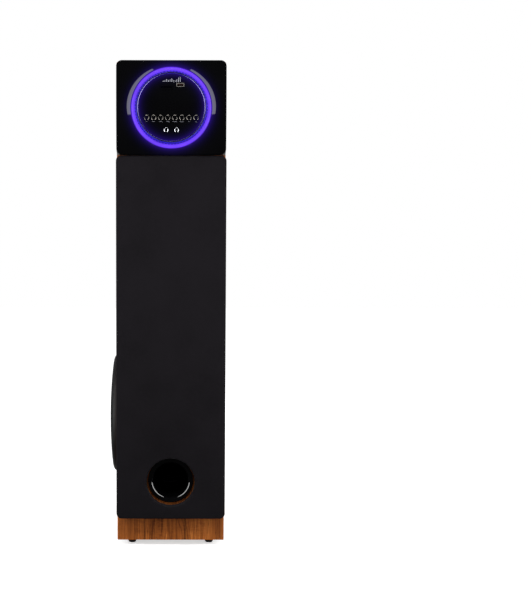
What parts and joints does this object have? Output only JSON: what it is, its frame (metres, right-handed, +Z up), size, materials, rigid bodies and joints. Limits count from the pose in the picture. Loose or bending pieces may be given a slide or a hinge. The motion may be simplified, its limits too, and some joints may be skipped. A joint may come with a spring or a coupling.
{
  "type": "floorstanding speaker",
  "caption": "Tall floorstanding active speaker: wood-wrapped cabinet, cloth grille with port, gloss head with light ring and controls, domed side bass cover, amplifier plate.",
  "frame": {"origin": "on the floor, at the middle of the footprint's bounding box, which takes in the side cover, the grille, the head and the sockets at the back", "axes": "+Z up, -Y the way the front faces, +X to the viewer's right when the front is seen; the bass driver fires towards -X"},
  "size_m": [0.2446, 0.357, 1],
  "materials": {
    "veneer": "satin printed veneer wrap, reddish brown with darker lengthwise bands",
    "board": "raw medium-density fibreboard",
    "black_board": "fibreboard painted matte black",
    "cloth": "stretched black speaker cloth",
    "gloss_black": "piano-gloss black moulded plastic",
    "matte_black": "matte black moulded plastic",
    "rubber": "matte black rubber",
    "paper": "treated black paper pulp",
    "button_metal": "bright metallised cap",
    "steel": "nickel-plated steel",
    "chrome": "mirror bright",
    "aluminium": "extruded, plain",
    "ferrite": "pressed ferrite with plated steel plates",
    "diffuser": "translucent violet-blue light diffuser",
    "silk": "coated silk",
    "circuit": "green glass-fibre board",
    "plate_paint": "black textured powder coat on steel sheet",
    "red_plastic": "red moulded plastic"
  },
  "bodies": {
    "cabinet": {"side_panel_left": "veneer", "side_panel_right": "veneer", "front_baffle": "veneer", "top_panel": "veneer", "bottom_panel": "board", "brace_shelf": "board", "back_panel": "black_board", "foot_front_left": "rubber", "foot_front_right": "rubber", "foot_rear_left": "rubber", "foot_rear_right": "rubber", "port_tube": "gloss_black", "woofer_basket": "matte_black", "woofer_surround": "rubber", "woofer_magnet": "ferrite", "woofer_cover_ring": "matte_black", "woofer_cover_mesh": "cloth", "mid_upper_basket": "matte_black", "mid_upper_surround": "rubber", "mid_upper_magnet": "ferrite", "mid_lower_basket": "matte_black", "mid_lower_surround": "rubber", "mid_lower_magnet": "ferrite", "tweeter_plate": "matte_black", "tweeter_magnet": "ferrite", "head_housing": "gloss_black", "light_ring": "diffuser", "trim_ring": "chrome", "light_board": "circuit", "control_disc": "gloss_black", "control_board": "circuit", "microphone_jack_left": "steel", "microphone_jack_right": "steel", "usb_port": "steel", "card_slot": "matte_black", "amplifier_plate": "plate_paint", "mains_inlet": "matte_black", "rocker_bezel": "matte_black", "terminal_block": "matte_black", "line_input_sockets": "matte_black", "heatsink": "aluminium", "amplifier_board": "circuit", "transformer": "steel"},
    "grille": {"grille_frame": "matte_black", "grille_cloth": "cloth"},
    "woofer_cone": {"woofer_cone": "paper"},
    "mid_upper_cone": {"mid_upper_cone": "paper"},
    "mid_lower_cone": {"mid_lower_cone": "paper"},
    "tweeter_dome": {"tweeter_dome": "silk"},
    "power_rocker": {"power_rocker": "red_plastic"},
    "terminal_lever_black": {"terminal_lever_black": "matte_black"},
    "terminal_lever_red": {"terminal_lever_red": "red_plastic"},
    "button_1": {"button_1": "button_metal"},
    "button_2": {"button_2": "button_metal"},
    "button_3": {"button_3": "button_metal"},
    "button_4": {"button_4": "button_metal"},
    "button_5": {"button_5": "button_metal"},
    "button_6": {"button_6": "button_metal"},
    "button_7": {"button_7": "button_metal"},
    "button_8": {"button_8": "button_metal"}
  },
  "joints": [
    {"name": "grille_pull", "type": "slide", "parent": "cabinet", "child": "grille", "axis": [0, -1, 0], "range_m": [0, 0.05]},
    {"name": "woofer_excursion", "type": "slide", "parent": "cabinet", "child": "woofer_cone", "axis": [-1, 0, 0], "range_m": [-0.006, 0.006], "stiffness_N_per_m": 1500, "deforming": ["woofer_surround"]},
    {"name": "mid_upper_excursion", "type": "slide", "parent": "cabinet", "child": "mid_upper_cone", "axis": [0, -1, 0], "range_m": [-0.002, 0.002], "stiffness_N_per_m": 1200, "deforming": ["mid_upper_surround"]},
    {"name": "mid_lower_excursion", "type": "slide", "parent": "cabinet", "child": "mid_lower_cone", "axis": [0, -1, 0], "range_m": [-0.002, 0.002], "stiffness_N_per_m": 1200, "deforming": ["mid_lower_surround"]},
    {"name": "tweeter_excursion", "type": "slide", "parent": "cabinet", "child": "tweeter_dome", "axis": [0, -1, 0], "range_m": [-0.0005, 0.0005], "stiffness_N_per_m": 1000},
    {"name": "button_1_press", "type": "slide", "parent": "cabinet", "child": "button_1", "axis": [0, 1, 0], "range_m": [0, 0.0008], "stiffness_N_per_m": 600},
    {"name": "button_2_press", "type": "slide", "parent": "cabinet", "child": "button_2", "axis": [0, 1, 0], "range_m": [0, 0.0008], "stiffness_N_per_m": 600},
    {"name": "button_3_press", "type": "slide", "parent": "cabinet", "child": "button_3", "axis": [0, 1, 0], "range_m": [0, 0.0008], "stiffness_N_per_m": 600},
    {"name": "button_4_press", "type": "slide", "parent": "cabinet", "child": "button_4", "axis": [0, 1, 0], "range_m": [0, 0.0008], "stiffness_N_per_m": 600},
    {"name": "button_5_press", "type": "slide", "parent": "cabinet", "child": "button_5", "axis": [0, 1, 0], "range_m": [0, 0.0008], "stiffness_N_per_m": 600},
    {"name": "button_6_press", "type": "slide", "parent": "cabinet", "child": "button_6", "axis": [0, 1, 0], "range_m": [0, 0.0008], "stiffness_N_per_m": 600},
    {"name": "button_7_press", "type": "slide", "parent": "cabinet", "child": "button_7", "axis": [0, 1, 0], "range_m": [0, 0.0008], "stiffness_N_per_m": 600},
    {"name": "button_8_press", "type": "slide", "parent": "cabinet", "child": "button_8", "axis": [0, 1, 0], "range_m": [0, 0.0008], "stiffness_N_per_m": 600},
    {"name": "power_rocker_tilt", "type": "hinge", "parent": "cabinet", "child": "power_rocker", "pos_m": [0.01632, 0.16265, 0.147], "axis": [1, 0, 0], "range_deg": [0, 24]},
    {"name": "terminal_lever_black_press", "type": "hinge", "parent": "cabinet", "child": "terminal_lever_black", "pos_m": [-0.0003, 0.17695, 0.2862], "axis": [-1, 0, 0], "range_deg": [0, 15], "stiffness_Nm_per_rad": 0.05},
    {"name": "terminal_lever_red_press", "type": "hinge", "parent": "cabinet", "child": "terminal_lever_red", "pos_m": [0.02095, 0.17695, 0.2862], "axis": [-1, 0, 0], "range_deg": [0, 15], "stiffness_Nm_per_rad": 0.05}
  ]
}
